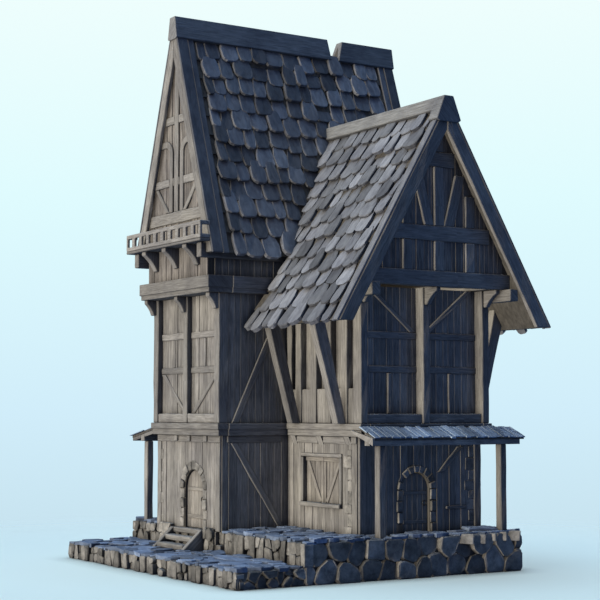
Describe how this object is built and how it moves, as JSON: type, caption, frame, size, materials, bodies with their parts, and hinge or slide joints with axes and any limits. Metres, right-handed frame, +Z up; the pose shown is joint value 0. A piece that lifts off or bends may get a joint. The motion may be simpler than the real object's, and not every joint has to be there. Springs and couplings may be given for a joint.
{
  "type": "medieval timber house",
  "caption": "Steep-roofed jettied timber house with a gabled front wing, lean-to porches and a gable gallery on a stepped stone base; arched plank doors swing inward.",
  "frame": {"origin": "centre of the underside of the stone base, where the house stands on the ground", "axes": "+Z up; -Y is the front with the wing gable, porch and front door; -X is the side with the steps, side door and main gable"},
  "size_m": [10.02, 10.8, 16.17],
  "materials": {
    "base_stone": "rough rubble and flagstones",
    "arch_stone": "rough dressed blocks",
    "roof_shingle": "weathered split shingles",
    "porch_shake": "weathered rough boards",
    "door_plank": "weathered planks",
    "floor_plank": "worn boards",
    "wall_board": "weathered upright boards",
    "hinge_iron": "dark forged iron",
    "frame_timber": "hewn weathered timber"
  },
  "bodies": {
    "house": {"attic_floors": "floor_plank", "barge_boards": "frame_timber", "door_heads": "wall_board", "door_pintles": "hinge_iron", "eave_plates": "frame_timber", "eave_struts": "frame_timber", "first_floor_decks": "floor_plank", "frieze_walls": "wall_board", "front_door_arch": "arch_stone", "front_door_frame": "wall_board", "gallery_brackets": "frame_timber", "gallery_floor": "floor_plank", "gallery_parapet": "frame_timber", "ground_east_wall": "wall_board", "ground_framing": "frame_timber", "joist_ends": "frame_timber", "lower_terrace": "base_stone", "main_eave_beams": "frame_timber", "main_end_walls": "wall_board", "main_framing": "frame_timber", "main_gable_frame": "frame_timber", "main_gables": "wall_board", "main_long_walls": "wall_board", "main_plates": "frame_timber", "main_posts": "frame_timber", "main_roof_north": "roof_shingle", "main_roof_south": "roof_shingle", "main_side_walls": "wall_board", "main_west_wall": "wall_board", "north_porch_roof": "porch_shake", "plate_brackets": "frame_timber", "porch_beams": "frame_timber", "porch_posts": "frame_timber", "ridge_caps": "frame_timber", "side_door_arch": "arch_stone", "side_door_frame": "wall_board", "sill_beams": "frame_timber", "south_porch_roof": "porch_shake", "step_cheeks": "base_stone", "step_stringers": "frame_timber", "step_treads": "floor_plank", "upper_plinth": "base_stone", "window_frame": "frame_timber", "window_shutters": "door_plank", "wing_brackets": "frame_timber", "wing_framing": "frame_timber", "wing_front_wall": "wall_board", "wing_gable": "wall_board", "wing_gable_frame": "frame_timber", "wing_plates": "frame_timber", "wing_posts": "frame_timber", "wing_roof_east": "roof_shingle", "wing_roof_west": "roof_shingle", "wing_side_walls": "wall_board", "wing_upper_front_wall": "wall_board", "wing_wall_heads": "wall_board", "wing_west_wall": "wall_board"},
    "side_door": {"side_door": "door_plank"},
    "front_door": {"front_door": "door_plank"}
  },
  "joints": [
    {"name": "front_door_hinge", "type": "hinge", "parent": "house", "child": "front_door", "pos_m": [1.145, -4.035, 1.94], "axis": [0, 0, 1], "range_deg": [0, 100]},
    {"name": "side_door_hinge", "type": "hinge", "parent": "house", "child": "side_door", "pos_m": [-2.36, 1.515, 1.93], "axis": [0, 0, 1], "range_deg": [0, 100]}
  ]
}
